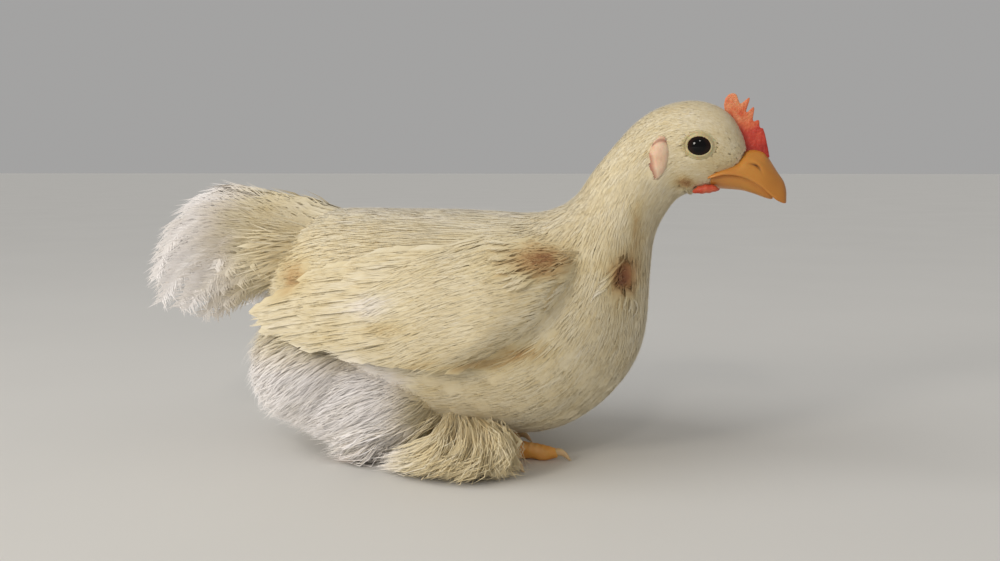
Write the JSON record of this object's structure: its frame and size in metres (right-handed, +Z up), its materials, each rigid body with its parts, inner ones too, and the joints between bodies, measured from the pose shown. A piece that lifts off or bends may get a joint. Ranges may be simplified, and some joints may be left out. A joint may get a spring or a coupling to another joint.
{
  "type": "pekin bantam chicken model",
  "caption": "Life-size still model of a young cream pekin bantam squatting on feathered feet, with a soft drooping tail and a small single comb.",
  "frame": {"origin": "on the floor under the middle of the bird's box", "axes": "+X forward, the way the bird faces and its longest extent; +Y to its left; +Z up"},
  "size_m": [0.2224, 0.1022, 0.1216],
  "materials": {
    "plumage": "soft feather",
    "comb": "fine-grained skin",
    "lobe": "bare skin",
    "bill": "horn",
    "scales": "scaled skin",
    "claw": "horn",
    "eye": "wet and glossy"
  },
  "bodies": {
    "root": {"head": "plumage", "neck": "plumage", "torso": "plumage", "tail": "plumage", "abdomen": "plumage", "comb": "comb", "bill_upper": "bill", "bill_lower": "bill", "earlobe_right": "lobe", "earlobe_left": "lobe", "eye_right": "eye", "eye_left": "eye", "wattle_right": "comb", "wattle_left": "comb", "wing_right": "plumage", "wing_left": "plumage", "thigh_right": "plumage", "thigh_left": "plumage", "shank_right": "scales", "shank_left": "scales", "foot_right": "scales", "foot_left": "scales", "claw_middle_right": "claw", "claw_middle_left": "claw", "claw_inner_right": "claw", "claw_inner_left": "claw", "claw_outer_right": "claw", "claw_outer_left": "claw", "claw_back_right": "claw", "claw_back_left": "claw"}
  },
  "joints": []
}
